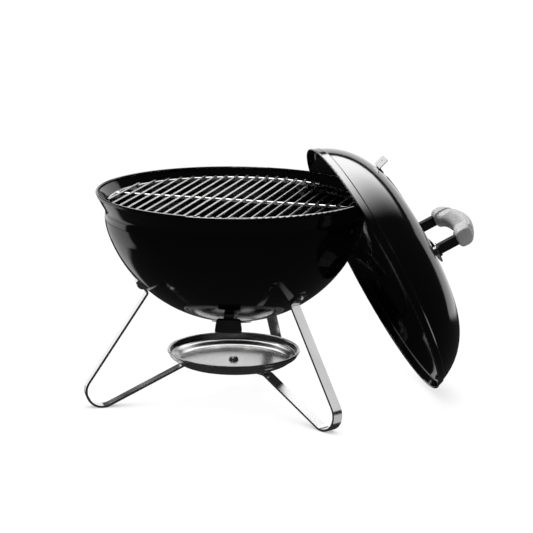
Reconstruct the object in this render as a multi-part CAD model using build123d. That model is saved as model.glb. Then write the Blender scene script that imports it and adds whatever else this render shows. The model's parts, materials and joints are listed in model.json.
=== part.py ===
from build123d import *
import os
from math import acos, asin, atan2, cos, degrees, hypot, pi, radians, sin, sqrt

# Tabletop kettle charcoal grill, millimetres. The origin is on the floor under the bowl's centre, +Z is up
# and +X points to the side of the rim on which the lid hangs. Every piece is modelled where it is when the
# grill stands open: vents open, grates in place, lid hung by its inner hook with its hollow side to the bowl.

# ---- driving dimensions ----

SHEET = 1.0                  # enamelled steel of bowl and lid
RIM_R = 186.0                # bowl, outside of the rolled lip
RIM_Z = 292.0                # bowl, top of the rolled lip
RIM_BEAD_R = 1.6             # section of the rolled lip

BOWL_R = 180.0               # outside of the spherical bottom
BOWL_BOTTOM_Z = 115.5
BOWL_SPHERE_Z = BOWL_BOTTOM_Z + BOWL_R
BOWL_CROWN_ANGLE = 70.0      # where the sphere turns into the tighter shoulder
BOWL_SHOULDER_R = 84.0
BOWL_WALL_LEAN = 5.0         # wall's lean from upright under the collar
COLLAR = ((173.2, 265.0), (178.4, 276.0), (183.9, 286.0))   # outside of the flared collar, radius and height

VENT_COUNT = 3               # wedge openings in the bowl's bottom
VENT_R = (19.0, 51.0)
VENT_ANGLE = 48.0

TAB_ANGLES = (45.0, 135.0, 225.0, 315.0)    # cooking grate's rests
TAB_TOP_Z = 275.0
TAB_WIDTH = 15.0
TAB_SHEET = 1.5

LEG_ANGLES = {"leg_left": 180.0, "leg_front": -60.0, "leg_rear": 60.0}
LEG_WIDTH = 15.0
LEG_SHEET = 3.0
LEG_BOLT_ANGLE = 44.7        # bolt's place on the spherical bottom, from straight down
LEG_TAB_ABOVE = 9.0          # strip above and below the bolt
LEG_TAB_BELOW = 13.0
LEG_KINK_R = 4.5
FOOT_X = 180.5               # centre of the foot's bend from the grill's axis
FOOT_BEND_R = 22.0
LEG_SEAT_X = 68.0            # where the strip turns level under the pan
LEG_SEAT_BEND_R = 12.0
LEG_END_X = -11.0

PAN_BOTTOM_Z = 56.0
PAN_SHEET = 0.9
PAN_PROFILE = ((73.0, 56.0), (83.0, 62.0), (86.4, 64.2), (89.2, 70.6))   # outside, radius and height
PAN_RIM_BEAD_R = 1.5
PAN_RIM_Z = 72.5
PAN_NUT_R = 6.2              # dome nut on the pan's floor
PAN_NUT_HEIGHT = 4.8

BOLT_R = 3.0
WASHER_R = 7.5
WASHER_SHEET = 1.2
NUT_FLATS = 10.0
NUT_HEIGHT = 5.0
DOME_HEAD_R = 6.5
DOME_HEAD_HEIGHT = 3.4

PIN_R = 4.0                  # bottom damper's pin
PIN_CLEARANCE = 0.05
LEVER_ANGLE = -105.4         # bottom damper's lever, vents open
LEVER_WIDTH = 14.0
LEVER_END_R = 100.0
DAMPER_SHEET = 1.2
DAMPER_GAP = 0.4
BLADE_R = 56.0
BLADE_ANGLE = 56.0
BLADE_HUB_R = 15.0
GRIP_TOP_WIDTH = 31.0
GRIP_BOTTOM_WIDTH = 36.0
GRIP_HEIGHT = 18.0
GRIP_DEPTH = 8.0

GRATE_R = 169.0              # cooking grate, middle of the outer ring
GRATE_RING_R = 2.2
GRATE_ROD_R = 1.5
GRATE_BAR_R = 2.0
GRATE_RING_Z = TAB_TOP_Z + 0.3 + GRATE_RING_R
GRATE_ROD_COUNT = 23
GRATE_ROD_PITCH = 14.3
GRATE_TURN = -27.5           # cross bar's direction from +X
WELD_SINK = 0.4              # how deep a welded wire sits in the one it crosses

COALS_R = 133.0              # charcoal grate, middle of the outer ring
COALS_RING_R = 2.7
COALS_ROD_R = 2.4
COALS_RING_Z = 181.5
COALS_ROD_COUNT = 11
COALS_ROD_PITCH = 23.0
COALS_BAR_OFFSET = 55.0
COALS_TURN = 30.0

LID_R = 185.5                # lid, outside of the rolled edge
LID_BEAD_R = 1.3
LID_DEPTH = 81.0
LID_CROWN_R = 578.0
LID_CROWN_EDGE_R = 110.0     # where the flat crown turns into the shoulder
LID_SHOULDER_R = 94.4
LID_SHOULDER_FOOT_Z = 12.0
LID_BAND = ((182.0, 10.4), (183.6, 5.0), (184.6, 1.3))      # outside of the rim band, radius and height

HANG_TILT = 63.6             # hung lid's turn about Y
HANG_X = 191.5               # hung lid's mouth centre
HANG_Z = 175.6

LID_VENT_X = -87.5           # lid damper's pin, from the lid's axis towards the hook
LID_VENT_COUNT = 4
LID_VENT_HOLE_R = 8.0
LID_VENT_RING_R = 24.0
LID_DAMPER_R = 38.0
LID_DAMPER_SHEET = 1.0
LID_DAMPER_TAB_ANGLE = 192.0
LID_DAMPER_TAB_WIDTH = 19.0
LID_DAMPER_TAB_LENGTH = 15.5
LID_DAMPER_TAB_LEAN = 10.0

HOOK_WIDTH = 26.0
HOOK_SHEET = 2.0
HOOK_SLOT_WIDTH = 11.0
HOOK_TONGUE_WIDTH = 9.0

HANDLE_TURN = 6.5            # handle's line from the lid's Y axis
HANDLE_BOLT_Y = 44.0
HANDLE_BOLT_R = 2.5
SHIELD_SIZE = (30.0, 118.0, 1.2)
SHIELD_Z = 84.0
POST_SIZE = (14.5, 9.0)
POST_TOP_Z = 128.0
POST_FOOT_SIZE = (15.0, 20.0, 4.0)
GRIP_HALF_LENGTH = 52.0
GRIP_WIDTH = 26.0
GRIP_END_BOTTOM_Z = 116.0
GRIP_END_TOP_Z = 138.0
GRIP_CROWN_Z = 153.0
GRIP_ARCH_Z = 124.0
GRIP_ROUNDING = 6.0


# ---- helpers ----

def polar(radius, angle):
    """A point of the radius-height half plane, at an angle from straight down."""
    return (radius * sin(radians(angle)), -radius * cos(radians(angle)))


def ring(radius, wire_radius, height):
    """A ring of round wire, level, about Z; it is turned so that its seam lies between the grates' rods."""
    return Pos(0, 0, height) * Rot(0, 0, 8.0) * Torus(radius, wire_radius)


def tube_between(start, end, radius):
    """A straight round bar between two points."""
    direction = Vector(*end) - Vector(*start)
    plane = Plane(origin=start, z_dir=direction)
    return plane * Cylinder(radius, direction.length, align=(Align.CENTER, Align.CENTER, Align.MIN))


def upright(radius, bottom, top):
    """A cylinder about Z between two heights."""
    return Pos(0, 0, bottom) * Cylinder(radius, top - bottom, align=(Align.CENTER, Align.CENTER, Align.MIN))


def dome(radius, height):
    """A low round head that stands on the XY plane, with a short upright edge."""
    rise = 0.7 * height
    ball_r = (radius ** 2 + rise ** 2) / (2 * rise)
    return upright(radius, 0, 1.5 * height) & Pos(0, 0, height - ball_r) * Sphere(ball_r)


def hexagon_nut(hole_radius, bottom, flats=NUT_FLATS, height=NUT_HEIGHT):
    """A nut about Z whose lower face is at the height given."""
    blank = extrude(RegularPolygon(flats / sqrt(3), 6), height)
    return Pos(0, 0, bottom) * (blank - Cylinder(hole_radius, 3 * height))


def wedge(inner, outer, angle, middle):
    """A flat sector of a ring in the XY plane, centred on a direction."""
    half = radians(angle / 2)
    centre = radians(middle)
    def corner(radius, turn):
        return (radius * cos(centre + turn), radius * sin(centre + turn))
    with BuildLine() as outline:
        Line(corner(inner, -half), corner(outer, -half))
        ThreePointArc(corner(outer, -half), corner(outer, 0), corner(outer, half))
        Line(corner(outer, half), corner(inner, half))
        ThreePointArc(corner(inner, half), corner(inner, 0), corner(inner, -half))
    return make_face(outline.line)


def strip(path, width, thickness, side):
    """A flat strip bent along a path in the XZ plane; side is the path's sideways direction."""
    start = path @ 0
    plane = Plane(origin=start, x_dir=side, z_dir=path % 0)
    return sweep(plane * Rectangle(width, thickness), path, transition=Transition.ROUND)


def tangent_point(point, centre, radius, turn):
    """Where the line from a point touches a circle; turn is +1 or -1 for the two tangents."""
    away = (point[0] - centre[0], point[1] - centre[1])
    bearing = atan2(away[1], away[0]) + turn * acos(radius / hypot(*away))
    return (centre[0] + radius * cos(bearing), centre[1] + radius * sin(bearing))


# ---- bowl ----

def bowl_wall(inset):
    """The bowl's wall line from the bottom to the lip, at a distance inside its outer face."""
    crown_end = polar(BOWL_R - inset, BOWL_CROWN_ANGLE)
    crown_middle = polar(BOWL_R - inset, BOWL_CROWN_ANGLE / 2)
    shoulder_centre = polar(BOWL_R - BOWL_SHOULDER_R, BOWL_CROWN_ANGLE)
    shoulder_radius = BOWL_SHOULDER_R - inset
    def shoulder_point(lean):
        x, z = polar(shoulder_radius, 90.0 - lean)
        return (shoulder_centre[0] + x, BOWL_SPHERE_Z + shoulder_centre[1] + z)
    wall_top = shoulder_point(BOWL_WALL_LEAN)
    shoulder_middle = shoulder_point((90.0 - BOWL_CROWN_ANGLE + BOWL_WALL_LEAN) / 2)
    collar = [(radius - inset, height) for radius, height in COLLAR]
    lip = (RIM_R - RIM_BEAD_R + SHEET / 2 - inset, RIM_Z - RIM_BEAD_R)
    bottom = Vector(0, BOWL_BOTTOM_Z + inset)
    crown = ThreePointArc(bottom, (crown_middle[0], BOWL_SPHERE_Z + crown_middle[1]),
                          (crown_end[0], BOWL_SPHERE_Z + crown_end[1]))
    shoulder = ThreePointArc((crown_end[0], BOWL_SPHERE_Z + crown_end[1]), shoulder_middle, wall_top)
    wall_direction = (sin(radians(BOWL_WALL_LEAN)), cos(radians(BOWL_WALL_LEAN)))
    flare = Spline([wall_top, *collar, lip], tangents=[wall_direction, (0, 1)])
    return [crown, shoulder, flare]


def closed_shell(outer, inner):
    """A spun sheet between an outer and an inner line that both start on the axis."""
    bottom = Line(inner[0] @ 0, outer[0] @ 0)
    lip = Line(outer[-1] @ 1, inner[-1] @ 1)
    edges = [edge for line in (*outer, *inner, bottom, lip) for edge in line.edges()]
    return revolve(Plane.XZ * make_face(edges), Axis.Z)


def bowl_frame(angle_down, turn, radius):
    """A plane square to the spherical bottom, its Z axis outwards."""
    x, z = polar(radius, angle_down)
    spin = radians(turn)
    origin = (x * cos(spin), x * sin(spin), BOWL_SPHERE_Z + z)
    outward = (sin(radians(angle_down)) * cos(spin), sin(radians(angle_down)) * sin(spin),
               -cos(radians(angle_down)))
    return Plane(origin=origin, x_dir=(-sin(spin), cos(spin), 0), z_dir=outward)


def vent_middles():
    """Directions of the bottom vents: the lever's direction when the blades leave them open."""
    return [LEVER_ANGLE + 360.0 / VENT_COUNT * (index + 0.5) for index in range(VENT_COUNT)]


def make_bowl():
    shell = closed_shell(bowl_wall(0.0), bowl_wall(SHEET))
    shell += ring(RIM_R - RIM_BEAD_R, RIM_BEAD_R, RIM_Z - RIM_BEAD_R)
    for middle in vent_middles():
        opening = Pos(0, 0, BOWL_BOTTOM_Z - 5) * wedge(*VENT_R, VENT_ANGLE, middle)
        shell -= extrude(opening, 25)
    shell -= upright(PIN_R, BOWL_BOTTOM_Z - 5, BOWL_BOTTOM_Z + 5)
    for turn in LEG_ANGLES.values():
        shell -= bowl_frame(LEG_BOLT_ANGLE, turn, BOWL_R) * Cylinder(BOLT_R, 4 * SHEET)
    return shell


def make_grate_tabs(bowl):
    """Bent tabs welded to the neck of the collar; each is a ledge and a foot along the wall."""
    neck_r = COLLAR[0][0] - SHEET
    under_edge = (Align.MAX, Align.CENTER, Align.MAX)
    foot = Pos(neck_r, 0, TAB_TOP_Z) * Box(TAB_SHEET, TAB_WIDTH, 18.0, align=under_edge)
    ledge = Pos(neck_r, 0, TAB_TOP_Z) * Box(9.0, TAB_WIDTH, TAB_SHEET, align=under_edge)
    weld = Pos(neck_r - TAB_SHEET / 2, 0, COLLAR[0][1]) * Box(3.0, 6.0, 3.0)
    tab = foot + ledge + weld
    return [Rot(0, 0, turn) * tab - bowl for turn in TAB_ANGLES]


# ---- legs ----

def make_leg(level):
    """One bent strip in the XZ plane; level is its place in the stack of ends under the pan."""
    bolt = polar(BOWL_R + LEG_SHEET / 2, LEG_BOLT_ANGLE)
    along = (cos(radians(LEG_BOLT_ANGLE)), sin(radians(LEG_BOLT_ANGLE)))
    tab_top = (bolt[0] + LEG_TAB_ABOVE * along[0], BOWL_SPHERE_Z + bolt[1] + LEG_TAB_ABOVE * along[1])
    kink = (bolt[0] - LEG_TAB_BELOW * along[0], BOWL_SPHERE_Z + bolt[1] - LEG_TAB_BELOW * along[1])
    foot_centre = (FOOT_X, FOOT_BEND_R + LEG_SHEET / 2)
    seat_z = PAN_BOTTOM_Z - LEG_SHEET * (level + 0.5)
    seat = (LEG_SEAT_X, seat_z)
    upper_touch = tangent_point(kink, foot_centre, FOOT_BEND_R, -1)
    lower_touch = tangent_point(seat, foot_centre, FOOT_BEND_R, 1)
    foot_bottom = (FOOT_X, LEG_SHEET / 2)
    with BuildLine(Plane.XZ) as route:
        FilletPolyline(tab_top, kink, upper_touch, radius=LEG_KINK_R)
        ThreePointArc(upper_touch, (FOOT_X + FOOT_BEND_R, foot_centre[1]), foot_bottom)
        ThreePointArc(foot_bottom, foot_arc_middle(foot_centre, lower_touch), lower_touch)
        FilletPolyline(lower_touch, seat, (LEG_END_X, seat_z), radius=LEG_SEAT_BEND_R)
    leg = strip(route.wire(), LEG_WIDTH, LEG_SHEET, (0, 1, 0))
    leg -= bowl_frame(LEG_BOLT_ANGLE, 0.0, BOWL_R) * Cylinder(BOLT_R, 4 * LEG_SHEET)
    leg -= Pos(0, 0, seat_z) * Cylinder(BOLT_R, 4 * LEG_SHEET)
    ends = [edge for edge in leg.edges().filter_by(Axis.Z) if edge.center().X < LEG_END_X + 1]
    return fillet(ends, LEG_WIDTH / 2 - 0.5)


def foot_arc_middle(centre, touch):
    """A point of the foot's bend half way between its lowest point and the lower tangent point."""
    low = -pi / 2
    end = atan2(touch[1] - centre[1], touch[0] - centre[0])
    middle = (low + end) / 2
    return (centre[0] + FOOT_BEND_R * cos(middle), centre[1] + FOOT_BEND_R * sin(middle))


def make_legs():
    return {name: Rot(0, 0, turn) * make_leg(level) for level, (name, turn) in enumerate(LEG_ANGLES.items())}


def make_leg_fasteners():
    """Dome bolts outside, washers and nuts inside the bowl, at each leg."""
    washer_top = sqrt((BOWL_R - SHEET) ** 2 - WASHER_R ** 2) - BOWL_R - 0.02
    nut_top = washer_top - WASHER_SHEET
    shank = upright(BOLT_R, nut_top - NUT_HEIGHT - 1.5, LEG_SHEET)
    bolt = shank + Pos(0, 0, LEG_SHEET) * dome(DOME_HEAD_R, DOME_HEAD_HEIGHT)
    washer = upright(WASHER_R, washer_top - WASHER_SHEET, washer_top) - Cylinder(BOLT_R, 60)
    nut = hexagon_nut(BOLT_R, nut_top - NUT_HEIGHT)
    frames = [bowl_frame(LEG_BOLT_ANGLE, turn, BOWL_R) for turn in LEG_ANGLES.values()]
    return {"leg_bolts": [frame * bolt for frame in frames],
            "leg_washers": [frame * washer for frame in frames],
            "leg_nuts": [frame * nut for frame in frames]}


# ---- ash pan ----

def pan_line(inset):
    """The pan's line from the middle of its floor to its rim."""
    side = [(radius - inset, height + 0.6 * inset) for radius, height in PAN_PROFILE[1:]]
    floor_edge = (PAN_PROFILE[0][0] - 0.5 * inset, PAN_BOTTOM_Z + inset)
    rim = (PAN_PROFILE[-1][0] + 0.2 - inset, PAN_RIM_Z - PAN_RIM_BEAD_R)
    floor = Line((0, PAN_BOTTOM_Z + inset), floor_edge)
    wall = Spline([floor_edge, *side, rim], tangents=[(1, 0.15), (0.1, 1)])
    return [floor, wall]


def make_ash_pan():
    pan = closed_shell(pan_line(0.0), pan_line(PAN_SHEET))
    bead_r = PAN_PROFILE[-1][0] + 0.2 - PAN_SHEET / 2
    pan += ring(bead_r, PAN_RIM_BEAD_R, PAN_RIM_Z - PAN_RIM_BEAD_R)
    return pan - upright(BOLT_R, PAN_BOTTOM_Z - 2, PAN_BOTTOM_Z + 2)


def make_pan_fasteners():
    """A bolt up through the three strip ends and the pan, with a washer below and a dome nut above."""
    stack_bottom = PAN_BOTTOM_Z - LEG_SHEET * len(LEG_ANGLES)
    washer_bottom = stack_bottom - WASHER_SHEET
    floor = PAN_BOTTOM_Z + PAN_SHEET
    washer = upright(WASHER_R, washer_bottom, stack_bottom) - upright(BOLT_R, washer_bottom, stack_bottom)
    head = Pos(0, 0, washer_bottom) * extrude(RegularPolygon(NUT_FLATS / sqrt(3), 6), -4.0)
    bolt = head + upright(BOLT_R, washer_bottom, floor + 4.0)
    flange = upright(PAN_NUT_R + 0.8, floor, floor + 0.9)
    cap = Pos(0, 0, floor + 0.9) * dome(PAN_NUT_R, PAN_NUT_HEIGHT)
    nut = flange + cap - upright(BOLT_R, floor - 1, floor + 4.0)
    return {"ash_pan_bolt": [bolt], "ash_pan_washer": [washer], "ash_pan_nut": [nut]}


# ---- bottom damper ----

def sphere_shell(inner, outer, centre_z):
    """A hollow ball about a point of the Z axis."""
    return Pos(0, 0, centre_z) * (Sphere(outer) - Sphere(inner))


def make_bottom_damper():
    """Three blades and a lever that follow the bowl's underside, with a bent-down end for the grip."""
    outline = Circle(BLADE_HUB_R)
    for index in range(VENT_COUNT):
        outline += wedge(0.6 * BLADE_HUB_R, BLADE_R, BLADE_ANGLE, LEVER_ANGLE + 360.0 / VENT_COUNT * index)
    outline += Rot(0, 0, LEVER_ANGLE) * Pos(LEVER_END_R / 2, 0) * Rectangle(LEVER_END_R, LEVER_WIDTH)
    outline -= Circle(PIN_R + PIN_CLEARANCE)
    inner = BOWL_R + DAMPER_GAP
    shell = sphere_shell(inner, inner + DAMPER_SHEET, BOWL_SPHERE_Z)
    blank = Pos(0, 0, BOWL_BOTTOM_Z - 5) * extrude(outline, 45)
    plate = shell & blank
    end_top = BOWL_SPHERE_Z - sqrt((inner + DAMPER_SHEET / 2) ** 2 - LEVER_END_R ** 2)
    bent_end = Pos(LEVER_END_R, 0, end_top) * Box(
        DAMPER_SHEET, LEVER_WIDTH, 13.0, align=(Align.MAX, Align.CENTER, Align.MAX))
    return plate + Rot(0, 0, LEVER_ANGLE) * bent_end


def make_bottom_damper_grip(damper):
    """A black moulded grip pushed over the lever's bent end, wider at its lower edge."""
    inner = BOWL_R + DAMPER_GAP + DAMPER_SHEET
    reach = LEVER_END_R + GRIP_DEPTH - DAMPER_SHEET - 2.0
    top = BOWL_SPHERE_Z - sqrt(inner ** 2 - (reach - GRIP_DEPTH) ** 2) - 0.2
    half_top = GRIP_TOP_WIDTH / 2
    half_bottom = GRIP_BOTTOM_WIDTH / 2
    face = Polygon((-half_top, 0), (half_top, 0), (half_bottom, -GRIP_HEIGHT), (-half_bottom, -GRIP_HEIGHT),
                   align=None)
    face = fillet(face.vertices(), 3.0)
    plane = Plane(origin=(reach, 0, top), x_dir=(0, 1, 0), z_dir=(1, 0, 0))
    block = extrude(plane * face, -GRIP_DEPTH)
    front_edges = block.faces().sort_by(Axis.X)[-1].edges()
    block = fillet(front_edges, 1.5)
    return Rot(0, 0, LEVER_ANGLE) * block - damper


def make_bottom_damper_pin(bowl):
    """A shouldered pin in the bowl's bottom with a head under the blades and a cap inside."""
    blade_bottom = BOWL_BOTTOM_Z - DAMPER_GAP - DAMPER_SHEET
    cap_bottom = BOWL_BOTTOM_Z + SHEET
    head = Pos(0, 0, blade_bottom - DAMPER_GAP) * Rot(180, 0, 0) * dome(8.0, 3.0)
    pin = head + upright(PIN_R, blade_bottom - DAMPER_GAP, cap_bottom + 4.0)
    cap = upright(9.0, cap_bottom - 0.2, cap_bottom + 1.6) - upright(PIN_R, cap_bottom - 1, cap_bottom + 3)
    return pin, cap - bowl


# ---- grates ----

def make_grate(outer_r, ring_r, ring_z, rod_r, rod_count, rod_pitch, bar_r, bar_offsets, turn):
    """A round welded grate: a ring, parallel rods on top of it, and bars under the rods."""
    rod_z = ring_z + ring_r + rod_r - WELD_SINK
    bar_z = rod_z - rod_r - bar_r + WELD_SINK
    outer = ring(outer_r, ring_r, ring_z)
    bars = []
    for offset in bar_offsets:
        half = sqrt((outer_r - ring_r + 0.5) ** 2 - offset ** 2)
        bars.append(tube_between((-half, offset, bar_z), (half, offset, bar_z), bar_r) - outer)
    rods = []
    for index in range(rod_count):
        across = rod_pitch * (index - (rod_count - 1) / 2)
        half = sqrt((outer_r + 0.3 * ring_r) ** 2 - across ** 2)
        rod = tube_between((across, -half, rod_z), (across, half, rod_z), rod_r) - outer
        for bar in bars:
            rod = rod - bar
        rods.append(rod)
    place = Rot(0, 0, turn)
    return [place * outer], [place * rod for rod in rods], [place * bar for bar in bars]


# ---- lid, in its own frame: mouth level at Z 0, crown up, hook side towards -X ----

LID_SPHERE_Z = LID_DEPTH - LID_CROWN_R


def lid_wall(inset):
    """The lid's wall line from the crown to the rolled edge, at a distance inside its outer face."""
    crown_angle = degrees(asin(LID_CROWN_EDGE_R / LID_CROWN_R))
    def crown_point(angle):
        radius = LID_CROWN_R - inset
        return (radius * sin(radians(angle)), LID_SPHERE_Z + radius * cos(radians(angle)))
    centre_gap = LID_CROWN_R - LID_SHOULDER_R
    centre = (centre_gap * sin(radians(crown_angle)), LID_SPHERE_Z + centre_gap * cos(radians(crown_angle)))
    foot_angle = 90.0 - degrees(asin((LID_SHOULDER_FOOT_Z - centre[1]) / LID_SHOULDER_R))
    def shoulder_point(angle):
        radius = LID_SHOULDER_R - inset
        return (centre[0] + radius * sin(radians(angle)), centre[1] + radius * cos(radians(angle)))
    crown = ThreePointArc(crown_point(0), crown_point(crown_angle / 2), crown_point(crown_angle))
    shoulder = ThreePointArc(shoulder_point(crown_angle), shoulder_point((crown_angle + foot_angle) / 2),
                             shoulder_point(foot_angle))
    band = [(radius - inset, height) for radius, height in LID_BAND]
    return [crown, shoulder, Polyline(shoulder_point(foot_angle), *band)]


def lid_frame(x):
    """A plane square to the lid's crown at a distance along X, its Z axis outwards."""
    angle = asin(x / LID_CROWN_R)
    return Plane(origin=(x, 0, LID_SPHERE_Z + LID_CROWN_R * cos(angle)), x_dir=(cos(angle), 0, -sin(angle)),
                 z_dir=(sin(angle), 0, cos(angle)))


def handle_places():
    """The two handle bolts' places on the lid."""
    return [Rot(0, 0, HANDLE_TURN) * Pos(0, side * HANDLE_BOLT_Y, 0) for side in (-1, 1)]


def crown_height(distance):
    """Height of the lid's outer face at a distance from its axis, on the crown."""
    return LID_SPHERE_Z + sqrt(LID_CROWN_R ** 2 - distance ** 2)


def make_lid():
    shell = closed_shell(lid_wall(0.0), lid_wall(SHEET))
    shell += ring(LID_R - LID_BEAD_R, LID_BEAD_R, LID_BEAD_R)
    vent = lid_frame(LID_VENT_X)
    for index in range(LID_VENT_COUNT):
        angle = radians(LID_DAMPER_TAB_ANGLE + 360.0 / LID_VENT_COUNT * (index + 0.5))
        hole = Pos(LID_VENT_RING_R * cos(angle), LID_VENT_RING_R * sin(angle), 0)
        shell -= vent * hole * Cylinder(LID_VENT_HOLE_R, 10)
    shell -= vent * Cylinder(PIN_R, 10)
    for place in handle_places():
        shell -= place * upright(HANDLE_BOLT_R, LID_DEPTH - 10, LID_DEPTH + 5)
    return shell


def make_lid_damper():
    """A dished plate on the crown, with the vent holes of the lid and a bent-up tab."""
    inner = LID_CROWN_R + DAMPER_GAP
    shell = sphere_shell(inner, inner + LID_DAMPER_SHEET, -LID_CROWN_R)
    outline = Circle(LID_DAMPER_R)
    for index in range(LID_VENT_COUNT):
        angle = radians(360.0 / LID_VENT_COUNT * (index + 0.5))
        outline -= Pos(LID_VENT_RING_R * cos(angle), LID_VENT_RING_R * sin(angle)) * Circle(LID_VENT_HOLE_R)
    neck = Rectangle(LID_DAMPER_R + 5.0, LID_DAMPER_TAB_WIDTH, align=(Align.MIN, Align.CENTER))
    outline = (outline + (neck - Circle(LID_DAMPER_R - 1.0))) - Circle(PIN_R + PIN_CLEARANCE)
    plate = shell & (Pos(0, 0, -5) * extrude(outline, 10))
    bend_x = LID_DAMPER_R + 5.0
    bend_z = sqrt((inner + LID_DAMPER_SHEET / 2) ** 2 - bend_x ** 2) - LID_CROWN_R
    tab_face = Pos(0, LID_DAMPER_TAB_LENGTH / 2) * RectangleRounded(
        LID_DAMPER_TAB_WIDTH, LID_DAMPER_TAB_LENGTH, 3.5) + Rectangle(
        LID_DAMPER_TAB_WIDTH, 8.0, align=(Align.CENTER, Align.MIN))
    tab_face -= Pos(0, 0.62 * LID_DAMPER_TAB_LENGTH) * Circle(1.6)
    lean = radians(LID_DAMPER_TAB_LEAN)
    tab_plane = Plane(origin=(bend_x, 0, bend_z), x_dir=(0, 1, 0), z_dir=(cos(lean), 0, -sin(lean)))
    tab = extrude(tab_plane * tab_face, LID_DAMPER_SHEET / 2, both=True)
    damper = Rot(0, 0, LID_DAMPER_TAB_ANGLE) * (plate + tab)
    return lid_frame(LID_VENT_X) * damper


def make_lid_damper_pin():
    """A shouldered rivet in the lid, with heads outside the damper and inside the lid."""
    top = DAMPER_GAP + LID_DAMPER_SHEET + DAMPER_GAP
    outside = Pos(0, 0, top) * dome(7.0, 2.4)
    inside = Pos(0, 0, -SHEET - 0.05) * Rot(180, 0, 0) * dome(7.0, 2.0)
    return lid_frame(LID_VENT_X) * (outside + inside + upright(PIN_R, -SHEET - 0.05, top))


def hang():
    """Where the lid's own frame is when it hangs on the bowl's rim."""
    return Pos(HANG_X, 0, HANG_Z) * Rot(0, HANG_TILT, 0)


def make_lid_hook(hung_lid):
    """A bent strap welded inside the lid: two fingers outside the bowl's rim and a tongue inside it."""
    outside_x = RIM_R + 0.6 + HOOK_SHEET / 2
    tongue_z = RIM_Z + 0.6 + HOOK_SHEET / 2
    with BuildLine(Plane.XZ) as strap_line:
        FilletPolyline((167.5, 332.6), (191.6, 317.5), (outside_x, tongue_z + 5.0), (outside_x, 274.0),
                       radius=4.0)
    with BuildLine(Plane.XZ) as tongue_line:
        FilletPolyline((outside_x + 1.0, tongue_z + 7.0), (outside_x, tongue_z), (181.0, tongue_z),
                       (178.6, 281.5), radius=2.2)
    strap = strip(strap_line.wire(), HOOK_WIDTH, HOOK_SHEET, (0, 1, 0))
    strap -= Pos(outside_x, 0, tongue_z + 1.5) * Box(8.0, HOOK_SLOT_WIDTH, 60.0,
                                                     align=(Align.CENTER, Align.CENTER, Align.MAX))
    tongue = strip(tongue_line.wire(), HOOK_TONGUE_WIDTH, HOOK_SHEET, (0, 1, 0))
    return strap + tongue - hung_lid


# ---- handle, in the lid's frame ----

def make_handle(lid):
    """Heat shield, spacers, posts, grip, bolts and washers, all placed on the lid's crown."""
    turned = Rot(0, 0, HANDLE_TURN)
    shield_top = SHIELD_Z + SHIELD_SIZE[2]
    shield = turned * Pos(0, 0, SHIELD_Z) * extrude(RectangleRounded(SHIELD_SIZE[0], SHIELD_SIZE[1], 8.0),
                                                    SHIELD_SIZE[2])
    surface = crown_height(HANDLE_BOLT_Y)
    bolt_top = shield_top + 22.0
    spacers, posts, bolts, washers = [], [], [], []
    for place in handle_places():
        spacer = place * upright(6.0, surface - 0.4, SHIELD_Z) - place * upright(HANDLE_BOLT_R, 60, 100)
        spacers.append(spacer - lid)
        post = make_post(shield_top) - upright(HANDLE_BOLT_R, 60, bolt_top)
        posts.append(place * post)
        washer_top = surface - SHEET
        washer = upright(WASHER_R, washer_top - WASHER_SHEET, washer_top) - upright(HANDLE_BOLT_R, 60, 100)
        washers.append(place * washer - lid)
        head = Pos(0, 0, washer_top - WASHER_SHEET) * Rot(180, 0, 0) * dome(4.8, 3.0)
        bolts.append(place * (head + upright(HANDLE_BOLT_R, washer_top - WASHER_SHEET, bolt_top)))
        shield -= place * upright(HANDLE_BOLT_R, 60, 100)
    grip = turned * make_grip()
    for post in posts:
        grip -= post
    return {"heat_shield": [shield], "handle_spacers": spacers, "handle_posts": posts, "handle_bolts": bolts,
            "handle_washers": washers, "handle_grip": [grip]}


def make_post(foot_bottom):
    """A rounded bar with a wider foot, upright about Z."""
    foot_x, foot_y, foot_z = POST_FOOT_SIZE
    foot = Pos(0, 0, foot_bottom) * extrude(RectangleRounded(foot_x, foot_y, 3.0), foot_z)
    bar = Pos(0, 0, foot_bottom) * extrude(RectangleRounded(*POST_SIZE, 2.0), POST_TOP_Z - foot_bottom)
    return foot + bar


def make_grip():
    """The arched grip along Y; its ends come down over the posts."""
    half = GRIP_HALF_LENGTH
    inner = half - 13.0
    with BuildLine(Plane.YZ) as outline:
        Line((-inner, GRIP_END_BOTTOM_Z), (-half, GRIP_END_BOTTOM_Z))
        Line((-half, GRIP_END_BOTTOM_Z), (-half, GRIP_END_TOP_Z))
        ThreePointArc((-half, GRIP_END_TOP_Z), (0, GRIP_CROWN_Z), (half, GRIP_END_TOP_Z))
        Line((half, GRIP_END_TOP_Z), (half, GRIP_END_BOTTOM_Z))
        Line((half, GRIP_END_BOTTOM_Z), (inner, GRIP_END_BOTTOM_Z))
        ThreePointArc((inner, GRIP_END_BOTTOM_Z), (0, GRIP_ARCH_Z), (-inner, GRIP_END_BOTTOM_Z))
    blank = extrude(make_face(outline.line), GRIP_WIDTH / 2, both=True)
    long_edges = [edge for edge in blank.edges() if abs(abs(edge.center().X) - GRIP_WIDTH / 2) < 0.01]
    return fillet(long_edges, GRIP_ROUNDING)


# ---- all nodes ----

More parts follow.
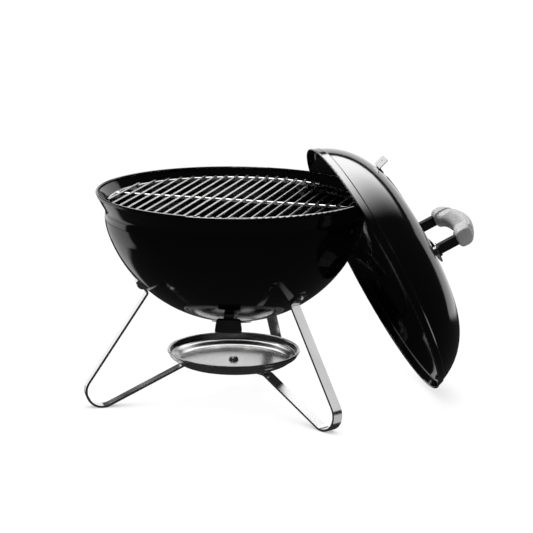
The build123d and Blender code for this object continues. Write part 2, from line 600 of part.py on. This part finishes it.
def make_nodes():
    nodes = {}
    bowl = make_bowl()
    nodes["bowl"] = [bowl]
    nodes["grate_tabs"] = make_grate_tabs(bowl)
    for name, leg in make_legs().items():
        nodes[name] = [leg]
    nodes.update(make_leg_fasteners())
    nodes["ash_pan"] = [make_ash_pan()]
    nodes.update(make_pan_fasteners())
    pin, cap = make_bottom_damper_pin(bowl)
    nodes["bottom_damper_pin"] = [pin]
    nodes["bottom_damper_cap"] = [cap]
    damper = make_bottom_damper()
    nodes["bottom_damper"] = [damper]
    nodes["bottom_damper_grip"] = [make_bottom_damper_grip(damper)]
    cooking = make_grate(GRATE_R, GRATE_RING_R, GRATE_RING_Z, GRATE_ROD_R, GRATE_ROD_COUNT, GRATE_ROD_PITCH,
                         GRATE_BAR_R, (0.0,), GRATE_TURN)
    coals = make_grate(COALS_R, COALS_RING_R, COALS_RING_Z, COALS_ROD_R, COALS_ROD_COUNT, COALS_ROD_PITCH,
                       COALS_ROD_R, (-COALS_BAR_OFFSET, COALS_BAR_OFFSET), COALS_TURN)
    for prefix, (outer, rods, bars) in {"cooking_grate": cooking, "charcoal_grate": coals}.items():
        nodes[prefix + "_ring"] = outer
        nodes[prefix + "_rods"] = rods
        nodes[prefix + "_bars"] = bars
    lid = make_lid()
    hung_lid = hang() * lid
    nodes["lid"] = [hung_lid]
    nodes["lid_hook"] = [make_lid_hook(hung_lid)]
    nodes["lid_damper"] = [hang() * make_lid_damper()]
    nodes["lid_damper_pin"] = [hang() * make_lid_damper_pin()]
    for name, solids in make_handle(lid).items():
        nodes[name] = [hang() * solid for solid in solids]
    return nodes


def main():
    os.makedirs("parts", exist_ok=True)
    for name, solids in make_nodes().items():
        pieces = [solid for part in solids for solid in part.solids()]
        export_step(Compound(children=pieces), f"parts/{name}.step")
        print(name, len(pieces), round(sum(piece.volume for piece in pieces), 1))


main()
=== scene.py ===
import bpy
import json
import math
from mathutils import Matrix, Vector


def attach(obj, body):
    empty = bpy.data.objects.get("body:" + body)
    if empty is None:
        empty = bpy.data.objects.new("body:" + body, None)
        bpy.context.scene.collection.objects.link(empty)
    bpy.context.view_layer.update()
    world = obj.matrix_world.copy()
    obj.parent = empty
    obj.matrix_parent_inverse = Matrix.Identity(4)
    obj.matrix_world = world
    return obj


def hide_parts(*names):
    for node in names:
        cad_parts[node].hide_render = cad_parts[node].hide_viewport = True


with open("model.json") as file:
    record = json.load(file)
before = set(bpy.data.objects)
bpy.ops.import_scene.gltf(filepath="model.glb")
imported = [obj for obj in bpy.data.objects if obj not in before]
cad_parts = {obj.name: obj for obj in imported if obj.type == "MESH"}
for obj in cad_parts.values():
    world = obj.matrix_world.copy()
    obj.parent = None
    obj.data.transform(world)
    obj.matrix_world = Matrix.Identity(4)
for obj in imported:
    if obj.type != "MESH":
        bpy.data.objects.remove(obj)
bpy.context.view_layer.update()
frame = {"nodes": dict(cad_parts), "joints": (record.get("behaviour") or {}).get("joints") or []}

nodes = frame["nodes"]
scene = bpy.context.scene

# ---- camera ----

VIEW_TURN = math.radians(-11.6)      # camera's bearing round the grill, from straight in front
CAMERA_REACH = 2.484                 # from the grill's axis, along the floor
CAMERA_HEIGHT = 0.7595
FOCAL_LENGTH = 127.6                 # for a sensor 36 mm wide
AIM_TURN = math.radians(-1.0)        # how far the aim is turned from the grill's axis
AIM_DROP = math.radians(12.97)
CAMERA_ROLL = math.radians(0.68)

camera = bpy.data.objects.new("camera", bpy.data.cameras.new("camera"))
scene.collection.objects.link(camera)
camera.data.sensor_width = 36.0
camera.data.lens = FOCAL_LENGTH
camera.data.clip_start = 0.1
camera.data.clip_end = 100.0
camera.matrix_world = (Matrix.Rotation(VIEW_TURN, 4, "Z")
                       @ Matrix.Translation((0.0, -CAMERA_REACH, CAMERA_HEIGHT))
                       @ Matrix.Rotation(AIM_TURN, 4, "Z")
                       @ Matrix.Rotation(math.radians(90.0) - AIM_DROP, 4, "X")
                       @ Matrix.Rotation(CAMERA_ROLL, 4, "Z"))
scene.camera = camera


# ---- material helpers ----

class Graph:
    """A new material's node tree, or a given tree, with short ways to add and join nodes."""

    def __init__(self, name, tree=None):
        if tree is None:
            self.material = bpy.data.materials.new(name)
            self.material.use_nodes = True
            tree = self.material.node_tree
            self.shader = tree.nodes["Principled BSDF"]
        self.tree = tree

    def node(self, kind, **settings):
        made = self.tree.nodes.new(kind)
        for key, value in settings.items():
            setattr(made, key, value)
        return made

    def link(self, source, target):
        self.tree.links.new(source, target)

    def place(self, turn=(0.0, 0.0, 0.0), scale=(1.0, 1.0, 1.0), shift=(0.0, 0.0, 0.0)):
        """Object coordinates, turned, scaled and shifted."""
        source = self.node("ShaderNodeTexCoord")
        mapping = self.node("ShaderNodeMapping")
        mapping.inputs["Location"].default_value = shift
        mapping.inputs["Rotation"].default_value = turn
        mapping.inputs["Scale"].default_value = scale
        self.link(source.outputs["Object"], mapping.inputs["Vector"])
        return mapping.outputs["Vector"]

    def noise(self, vector, scale, detail=3.0, roughness=0.5):
        made = self.node("ShaderNodeTexNoise")
        made.inputs["Scale"].default_value = scale
        made.inputs["Detail"].default_value = detail
        made.inputs["Roughness"].default_value = roughness
        self.link(vector, made.inputs["Vector"])
        return made.outputs["Fac"]

    def spread(self, value, low, high, start=0.3, end=0.7, curve="LINEAR"):
        """Maps a value from start..end to low..high."""
        made = self.node("ShaderNodeMapRange", interpolation_type=curve)
        made.inputs["From Min"].default_value = start
        made.inputs["From Max"].default_value = end
        made.inputs["To Min"].default_value = low
        made.inputs["To Max"].default_value = high
        self.link(value, made.inputs["Value"])
        return made.outputs["Result"]

    def ramp(self, value, *stops):
        """A colour ramp from (place, colour) stops."""
        made = self.node("ShaderNodeValToRGB")
        ramp = made.color_ramp
        while len(ramp.elements) < len(stops):
            ramp.elements.new(0.5)
        for element, (place, colour) in zip(ramp.elements, stops):
            element.position = place
            element.color = (*colour, 1.0)
        self.link(value, made.inputs["Fac"])
        return made.outputs["Color"]

    def math(self, first, second, operation="ADD"):
        made = self.node("ShaderNodeMath", operation=operation)
        for socket, value in zip(made.inputs, (first, second)):
            if isinstance(value, (int, float)):
                socket.default_value = value
            else:
                self.link(value, socket)
        return made.outputs["Value"]

    def bump(self, height, strength, distance):
        made = self.node("ShaderNodeBump")
        made.inputs["Strength"].default_value = strength
        made.inputs["Distance"].default_value = distance
        self.link(height, made.inputs["Height"])
        self.link(made.outputs["Normal"], self.shader.inputs["Normal"])

    def set(self, **values):
        """Sets shader sockets to plain values; an underscore stands for a space."""
        for name, value in values.items():
            self.shader.inputs[name.replace("_", " ")].default_value = value

    def feed(self, socket, value):
        self.link(value, self.shader.inputs[socket])


def grey(value, warmth=0.0):
    """A grey, with red raised and blue lowered by the share in warmth."""
    return (value * (1.0 + warmth), value, value * (1.0 - warmth))


# ---- materials ----

def enamel():
    """Black porcelain enamel: deep gloss, a very soft orange peel and a few dull patches."""
    graph = Graph("black_enamel")
    place = graph.place()
    graph.feed("Base Color", graph.ramp(graph.noise(place, 9.0), (0.35, grey(0.0006)), (0.7, grey(0.0012))))
    graph.feed("Roughness", graph.spread(graph.noise(place, 26.0, 5.0), 0.05, 0.11))
    graph.set(IOR=1.52)
    graph.bump(graph.noise(place, 150.0, 2.0), 0.04, 0.0004)
    return graph.material


def plated_strip(name, angle):
    """Bright plated strip: fine rolling lines along the strip, faint smudges."""
    graph = Graph(name)
    across = graph.place(turn=(0.0, 0.0, -angle), scale=(0.05, 1.0, 0.05))
    lines = graph.noise(across, 700.0, 3.0)
    smudge = graph.noise(graph.place(), 22.0, 3.0)
    graph.feed("Base Color", graph.ramp(smudge, (0.3, grey(0.68)), (0.7, grey(0.80, -0.004))))
    graph.feed("Roughness", graph.math(graph.spread(lines, 0.0, 0.05), graph.spread(smudge, 0.10, 0.17)))
    graph.set(Metallic=1.0)
    graph.bump(lines, 0.012, 0.0001)
    return graph.material


def zinc(name, low, high, rough, scale=180.0):
    """Plated steel with a fine crystalline mottle."""
    graph = Graph(name)
    place = graph.place()
    mottle = graph.noise(place, scale, 4.0, 0.6)
    graph.feed("Base Color", graph.ramp(mottle, (0.3, grey(low, 0.01)), (0.7, grey(high, -0.005))))
    graph.feed("Roughness", graph.spread(graph.noise(place, scale / 3.0, 4.0), rough, rough + 0.14))
    graph.set(Metallic=1.0)
    graph.bump(mottle, 0.1, 0.0002)
    return graph.material


def wire(name, low, high, rough):
    """Plated drawn wire: bright, with small changes of tone along its length."""
    graph = Graph(name)
    place = graph.place()
    tone = graph.noise(place, 45.0, 3.0)
    grain = graph.noise(place, 700.0, 2.0)
    graph.feed("Base Color", graph.ramp(tone, (0.3, grey(low, 0.008)), (0.7, grey(high))))
    fine = graph.spread(grain, rough, rough + 0.08)
    graph.feed("Roughness", graph.math(graph.spread(tone, 0.0, 0.08), fine))
    graph.set(Metallic=1.0)
    graph.bump(grain, 0.06, 0.0001)
    return graph.material


def spun(name, centre, direction, low, high, rough):
    """Spun or pressed aluminium: fine rings about an axis, and a soft cloudiness."""
    graph = Graph(name)
    tilt = Vector((0.0, 0.0, 1.0)).rotation_difference(Vector(direction)).inverted()
    shift = -(tilt @ Vector(centre))
    place = graph.place(turn=tilt.to_euler(), shift=shift)
    split = graph.node("ShaderNodeSeparateXYZ")
    graph.link(place, split.inputs["Vector"])
    squares = graph.math(graph.math(split.outputs["X"], 2.0, "POWER"),
                         graph.math(split.outputs["Y"], 2.0, "POWER"))
    radius = graph.math(squares, 0.5, "POWER")
    along = graph.node("ShaderNodeCombineXYZ")
    graph.link(radius, along.inputs["X"])
    rings = graph.noise(along.outputs["Vector"], 1500.0, 3.0)
    cloud = graph.noise(graph.place(), 24.0, 4.0)
    graph.feed("Base Color", graph.ramp(cloud, (0.3, grey(low)), (0.7, grey(high, 0.004))))
    hazy = graph.spread(cloud, rough, rough + 0.08)
    graph.feed("Roughness", graph.math(graph.spread(rings, 0.0, 0.08), hazy))
    graph.set(Metallic=1.0)
    graph.bump(rings, 0.06, 0.0001)
    return graph.material


def nylon(name, low, high, rough, sheen):
    """Moulded nylon: fine spark-eroded grain and slightly uneven sheen."""
    graph = Graph(name)
    place = graph.place()
    grain = graph.noise(place, 1400.0, 3.0, 0.6)
    graph.feed("Base Color", graph.ramp(graph.noise(place, 60.0, 4.0), (0.3, grey(low)), (0.7, grey(high))))
    graph.feed("Roughness", graph.spread(graph.noise(place, 90.0, 4.0), rough, rough + 0.12))
    graph.set(IOR=1.5, Specular_IOR_Level=sheen)
    graph.bump(grain, 0.35, 0.0002)
    return graph.material


def paint(material, *names):
    for name in names:
        slots = nodes[name].data.materials
        slots.clear()
        slots.append(material)


joints = {joint["name"]: joint for joint in frame["joints"]}
vent = joints["lid_damper_turn"]
FLOOR_CENTRE = (0.0, 0.0, 0.0)
UPWARDS = (0.0, 0.0, 1.0)

paint(enamel(), "bowl", "lid")
paint(plated_strip("strip_left", math.radians(180.0)), "leg_left")
paint(plated_strip("strip_front", math.radians(-60.0)), "leg_front")
paint(plated_strip("strip_rear", math.radians(60.0)), "leg_rear")
paint(zinc("zinc_fasteners", 0.55, 0.72, 0.16), "leg_bolts", "leg_washers", "leg_nuts", "ash_pan_bolt",
      "ash_pan_washer", "ash_pan_nut", "bottom_damper_pin", "bottom_damper_cap", "lid_damper_pin",
      "handle_bolts", "handle_washers")
paint(zinc("zinc_sheet", 0.5, 0.66, 0.2, 90.0), "grate_tabs", "lid_hook", "handle_spacers", "heat_shield")
paint(wire("cooking_wire", 0.62, 0.8, 0.13),
      "cooking_grate_ring", "cooking_grate_rods", "cooking_grate_bars")
paint(wire("coals_wire", 0.3, 0.42, 0.28),
      "charcoal_grate_ring", "charcoal_grate_rods", "charcoal_grate_bars")
paint(spun("spun_pan", FLOOR_CENTRE, UPWARDS, 0.56, 0.66, 0.15), "ash_pan")
paint(spun("spun_vent", vent["pos_m"], vent["axis"], 0.62, 0.72, 0.10), "lid_damper")
paint(spun("spun_bottom_vent", FLOOR_CENTRE, UPWARDS, 0.62, 0.74, 0.24), "bottom_damper")
paint(nylon("black_nylon", 0.006, 0.011, 0.42, 0.2), "handle_posts", "bottom_damper_grip")
grip_finish = nylon("grey_grip", 0.3, 0.37, 0.42, 0.5)
paint(grip_finish, "handle_grip")


# ---- handle grip: a soft arched barrel with end cups, finger ribs and a lined top panel ----

# where the lid's own frame sits while it hangs on the bowl's rim: place, lean and turn
HANG = (Matrix.Translation((0.1915, 0.0, 0.1756)) @ Matrix.Rotation(math.radians(63.6), 4, "Y")
        @ Matrix.Rotation(math.radians(6.5), 4, "Z"))
MM = 0.001

# grip sizes, millimetres; heights are above the lid's mouth
GRIP_HALF_LENGTH = 52.0
GRIP_TOP, TOP_ARCH_R = 153.0, 90.8
BARREL_BOTTOM, BARREL_ARCH_R = 125.0, 87.0
BARREL_HALF_WIDTH = 10.6
CUP_START, CUP_END = 34.5, 37.5      # where the barrel swells into the end cup
CUP_SWELL, CUP_BOTTOM = 2.2, 116.2
ROUND_START, ROUND_LENGTH = 48.5, 3.5
ROUND_SIDE, ROUND_BOTTOM = 3.2, 1.5  # how far the end's rounding pulls in the sides and top, and the bottom
SQUARENESS = 2.9                     # power of the section's rounded-square outline
RIB_REACH, RIB_PITCH, RIB_DEPTH = 25.0, 3.1, 0.8
LINE_DEPTH, LINE_RISE, LINE_WIDTH = 0.8, 0.62, 0.07   # the top panel's side lines
LINE_REACH, END_LINE, END_LINE_WIDTH = 42.0, 41.0, 0.7


def smooth(value, start, end):
    part = min(max((value - start) / (end - start), 0.0), 1.0)
    return part * part * (3.0 - 2.0 * part)


def grip_section(y):
    """Half width, lowest and highest point of the grip at a distance along it, millimetres."""
    reach = abs(y)
    cup = smooth(reach, CUP_START, CUP_END)
    top = GRIP_TOP - (TOP_ARCH_R - math.sqrt(TOP_ARCH_R ** 2 - y * y))
    barrel_bottom = BARREL_BOTTOM - (BARREL_ARCH_R - math.sqrt(BARREL_ARCH_R ** 2 - y * y))
    bottom = barrel_bottom * (1.0 - cup) + CUP_BOTTOM * cup
    half = BARREL_HALF_WIDTH + CUP_SWELL * cup
    over = min(max((reach - ROUND_START) / ROUND_LENGTH, 0.0), 1.0)
    round_off = 1.0 - math.sqrt(1.0 - over * over)
    return half - ROUND_SIDE * round_off, bottom + ROUND_BOTTOM * round_off, top - ROUND_SIDE * round_off


def grip_point(y, angle):
    """A point of the grip's skin; angle goes round the section from its side, upwards."""
    half, bottom, top = grip_section(y)
    side, rise = math.cos(angle), math.sin(angle)
    power = 2.0 / SQUARENESS
    x = half * math.copysign(abs(side) ** power, side)
    z = (top + bottom) / 2 + (top - bottom) / 2 * math.copysign(abs(rise) ** power, rise)
    ribbed = smooth(RIB_REACH - abs(y), 0.0, 3.0) * smooth(-rise, -0.35, 0.1)
    groove = ribbed * (0.5 + 0.5 * math.cos(2.0 * math.pi * y / RIB_PITCH)) * RIB_DEPTH
    line = math.exp(-(((rise - LINE_RISE) / LINE_WIDTH) ** 2)) * smooth(LINE_REACH - abs(y), 0.0, 2.0)
    line = max(line, math.exp(-(((abs(y) - END_LINE) / END_LINE_WIDTH) ** 2)) * smooth(rise, 0.60, 0.66))
    depth = groove + LINE_DEPTH * line
    return Vector((x - depth * side, y, z - depth * rise))


def make_grip():
    stations, around = 360, 112
    points, faces = [], []
    for step in range(stations + 1):
        y = 2.0 * GRIP_HALF_LENGTH * step / stations - GRIP_HALF_LENGTH
        for turn in range(around):
            points.append(HANG @ (grip_point(y, 2.0 * math.pi * turn / around) * MM))
    for step in range(stations):
        for turn in range(around):
            low, high = step * around, (step + 1) * around
            after = (turn + 1) % around
            faces.append((low + turn, low + after, high + after, high + turn))
    faces.append(tuple(reversed(range(around))))
    faces.append(tuple(range(stations * around, (stations + 1) * around)))
    mesh = bpy.data.meshes.new("grip")
    mesh.from_pydata(points, [], faces)
    mesh.update()
    mesh.shade_smooth()
    mesh.materials.append(grip_finish)
    made = bpy.data.objects.new("grip", mesh)
    scene.collection.objects.link(made)
    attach(made, "lid_set")
    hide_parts("handle_grip")


make_grip()


# ---- studio: floor and backdrop ----

FLOOR_REACH = 14.0
WALL_REACH, WALL_HEIGHT, WALLS = 13.5, 12.0, 24
WHITE = (1.0, 1.0, 1.0, 1.0)


def panel(name, corners, material):
    """A flat sheet from its corners, as part of the studio."""
    mesh = bpy.data.meshes.new(name)
    mesh.from_pydata(corners, [], [tuple(range(len(corners)))])
    mesh.materials.append(material)
    made = bpy.data.objects.new(name, mesh)
    scene.collection.objects.link(made)
    return made


def glowing_paper(name):
    """White studio paper that glows evenly, so that it stays plain and pale."""
    graph = Graph(name)
    graph.set(Roughness=0.9, Emission_Color=WHITE)
    return graph


def floor_paper_painted_shade():
    """Studio paper with painted contact shadows: its glow darkens only close to what stands on it, where an
    ambient-occlusion node finds pieces.
    """
    graph = glowing_paper("floor_paper_painted_shade")
    contact_shade_ao = graph.node("ShaderNodeAmbientOcclusion", samples=16)
    contact_shade_ao.inputs["Distance"].default_value = 0.06
    grain = graph.noise(graph.place(), 3.0)
    # painted shade: the floor's glow is dimmed near the pieces by the ambient-occlusion node, standing in
    # for contact shadows
    bright = graph.spread(contact_shade_ao.outputs["AO"], 0.45, 1.0, 0.0, 0.9, "SMOOTHSTEP")
    graph.feed("Base Color", graph.ramp(grain, (0.2, grey(0.03)), (0.8, grey(0.035))))
    graph.set(Specular_IOR_Level=0.0)
    graph.feed("Emission Strength", bright)
    return graph.material


def backdrop_paper():
    graph = glowing_paper("backdrop_paper")
    graph.set(Base_Color=(0.03, 0.03, 0.03, 1.0), Emission_Strength=1.0)
    return graph.material


def only_for_camera(made):
    made.visible_glossy = False
    made.visible_diffuse = False
    made.visible_shadow = False
    made.visible_transmission = False


def wall_foot(step):
    """Where two backdrop walls meet on the floor."""
    turn = 2.0 * math.pi * step / WALLS
    return WALL_REACH * math.cos(turn), WALL_REACH * math.sin(turn)


floor_corners = [(x * FLOOR_REACH, y * FLOOR_REACH, 0.0) for x, y in ((-1, -1), (1, -1), (1, 1), (-1, 1))]
floor = panel("floor", floor_corners, floor_paper_painted_shade())
floor.visible_glossy = False

backdrop_finish = backdrop_paper()
for index in range(WALLS):
    start, end = wall_foot(index), wall_foot(index + 1)
    wall_corners = [(*start, 0.0), (*end, 0.0), (*end, WALL_HEIGHT), (*start, WALL_HEIGHT)]
    only_for_camera(panel(f"backdrop_{index}", wall_corners, backdrop_finish))


# ---- studio light: a dark room, a soft box overhead, low white cards, and cards linked to some pieces ----

ENAMEL_NODES = ["bowl", "lid"]
FOR_OTHERS = 0.3         # the share of the overhead box that lights what is not black enamel
ROOM_GLOW = 0.03
# strength, left and right bearing, low and high height, softness of the edges;
# angles are in degrees, and bearing 0 is +Y, away from the camera
LOW_CARDS = (
    (1.1, -58.0, 66.0, -11.0, 13.0, 1.5),
    (1.1, 6.0, 66.0, 13.0, 20.0, 1.5),
    (0.75, -58.0, -8.0, -31.0, -12.0, 2.0),
)
DOME_REACH, DOME_LOW, DOME_HIGH = 12.0, math.radians(25.0), math.radians(89.0)
DOME_RINGS, DOME_SIDES = 10, 36
CARD_REACH = 2.2         # linked cards' distance from the floor's centre


def gate(graph, value, start, end):
    """0 before start, 1 after end, and soft between them."""
    return graph.spread(value, 0.0, 1.0, start, end, "SMOOTHSTEP")


def split_direction(graph, direction):
    split = graph.node("ShaderNodeSeparateXYZ")
    graph.link(direction, split.inputs["Vector"])
    return split.outputs["X"], split.outputs["Y"], split.outputs["Z"]


def in_degrees(graph, value):
    return graph.math(value, 180.0 / math.pi, "MULTIPLY")


def overhead_box(graph, direction):
    """Strength of the soft box along a direction: cut off sharply low down, fading to the right."""
    x, y, z = split_direction(graph, direction)
    height = in_degrees(graph, graph.math(z, 0.0, "ARCSINE"))
    above = graph.math(z, 0.05, "MAXIMUM")
    plan_x = graph.math(x, above, "DIVIDE")
    plan_y = graph.math(y, above, "DIVIDE")
    right_edge = graph.math(graph.math(plan_y, graph.math(plan_x, 0.857, "MULTIPLY"), "SUBTRACT"), 0.35)
    box = graph.spread(height, 5.0, 15.0, 29.0, 75.0)
    box = graph.math(box, gate(graph, right_edge, -0.45, 0.8), "MULTIPLY")
    box = graph.math(box, gate(graph, height, 27.5, 31.0), "MULTIPLY")
    box = graph.math(box, gate(graph, plan_x, -0.75, -0.35), "MULTIPLY")
    return graph.math(box, gate(graph, plan_y, -0.5, -0.1), "MULTIPLY")


def card(graph, direction, strength, left, right, low, high, soft):
    """A soft-edged patch between two bearings and two heights, degrees."""
    x, y, z = split_direction(graph, direction)
    bearing = in_degrees(graph, graph.math(x, y, "ARCTAN2"))
    height = in_degrees(graph, graph.math(z, 0.0, "ARCSINE"))
    patch = graph.math(gate(graph, bearing, left - soft, left + soft),
                       gate(graph, bearing, right + soft, right - soft), "MULTIPLY")
    patch = graph.math(patch, gate(graph, height, low - soft, low + soft), "MULTIPLY")
    patch = graph.math(patch, gate(graph, height, high + soft, high - soft), "MULTIPLY")
    return graph.math(patch, strength, "MULTIPLY")


def studio_light():
    world = bpy.data.worlds.new("studio")
    scene.world = world
    world.use_nodes = True
    graph = Graph("studio", world.node_tree)
    direction = graph.node("ShaderNodeTexCoord").outputs["Generated"]
    light = graph.math(graph.math(overhead_box(graph, direction), FOR_OTHERS, "MULTIPLY"), ROOM_GLOW)
    for settings in LOW_CARDS:
        light = graph.math(light, card(graph, direction, *settings))
    graph.link(light, world.node_tree.nodes["Background"].inputs["Strength"])
    world.node_tree.nodes["Background"].inputs["Color"].default_value = WHITE


def members(name, names):
    """A collection of CAD nodes or made pieces, for light linking."""
    group = bpy.data.collections.new(name)
    for piece in names:
        group.objects.link(nodes.get(piece) or bpy.data.objects[piece])
    return group


def enamel_box():
    """The rest of the overhead box's strength, on a dome that lights only the black enamel."""
    graph = Graph("soft_box")
    direction = graph.node("ShaderNodeVectorMath", operation="NORMALIZE")
    graph.link(graph.place(), direction.inputs[0])
    box = graph.math(overhead_box(graph, direction.outputs["Vector"]), 1.0 - FOR_OTHERS, "MULTIPLY")
    glow = graph.node("ShaderNodeEmission")
    graph.link(box, glow.inputs["Strength"])
    clear = graph.node("ShaderNodeBsdfTransparent")
    both = graph.node("ShaderNodeAddShader")
    graph.link(glow.outputs["Emission"], both.inputs[0])
    graph.link(clear.outputs["BSDF"], both.inputs[1])
    graph.link(both.outputs["Shader"], graph.tree.nodes["Material Output"].inputs["Surface"])
    points, faces = [], []
    for ring in range(DOME_RINGS):
        height = DOME_LOW + (DOME_HIGH - DOME_LOW) * ring / (DOME_RINGS - 1)
        out = DOME_REACH * math.cos(height)
        for side in range(DOME_SIDES):
            turn = 2.0 * math.pi * side / DOME_SIDES
            points.append((out * math.cos(turn), out * math.sin(turn), DOME_REACH * math.sin(height)))
    for ring in range(DOME_RINGS - 1):
        for side in range(DOME_SIDES):
            here, there = ring * DOME_SIDES, (ring + 1) * DOME_SIDES
            after = (side + 1) % DOME_SIDES
            faces.append((here + side, here + after, there + after, there + side))
    faces.append(tuple(range((DOME_RINGS - 1) * DOME_SIDES, DOME_RINGS * DOME_SIDES)))
    mesh = bpy.data.meshes.new("soft_box")
    mesh.from_pydata(points, [], faces)
    mesh.materials.append(graph.material)
    dome = bpy.data.objects.new("soft_box", mesh)
    scene.collection.objects.link(dome)
    dome.visible_camera = False
    dome.visible_shadow = False
    dome.light_linking.receiver_collection = members("soft_box_receivers", ENAMEL_NODES)


studio_light()
enamel_box()


def side_card(name, bearing, height, size, radiance, lit, shading):
    """A white card that lights only the pieces in lit, and is shaded only by those in shading."""
    light = bpy.data.lights.new(name, "AREA")
    light.size = size
    light.energy = radiance * 4.0 * size * size      # an area light's power for that radiance
    made = bpy.data.objects.new(name, light)
    scene.collection.objects.link(made)
    bearing, height = math.radians(bearing), math.radians(height)
    out = math.cos(height)
    aim = Vector((math.sin(bearing) * out, math.cos(bearing) * out, math.sin(height)))
    made.location = aim * CARD_REACH
    made.rotation_mode = "QUATERNION"
    made.rotation_quaternion = aim.to_track_quat("Z", "Y")
    made.light_linking.receiver_collection = members(name + "_receivers", lit)
    made.light_linking.blocker_collection = members(name + "_blockers", shading)


# each card: bearing and height in degrees, size in metres, radiance
LEG_METAL = ["leg_left", "leg_front", "leg_rear", "leg_bolts", "leg_washers", "leg_nuts"]
side_card("leg_side_card", 98.0, 32.0, 1.5, 0.6, LEG_METAL, ["bowl", "ash_pan"])
side_card("leg_back_card", 42.0, 46.0, 1.2, 1.1, LEG_METAL, ["bowl", "ash_pan"])
side_card("floor_bounce", 105.0, -22.0, 1.5, 0.45, LEG_METAL, ["bowl", "ash_pan"])
side_card("grip_key", -35.0, 55.0, 0.8, 15.0, ["grip"], ["lid", "grip"])
side_card("vent_card", -30.0, 31.0, 1.0, 0.9, ["lid_damper"], ["lid"])

scene.view_settings.view_transform = "Standard"
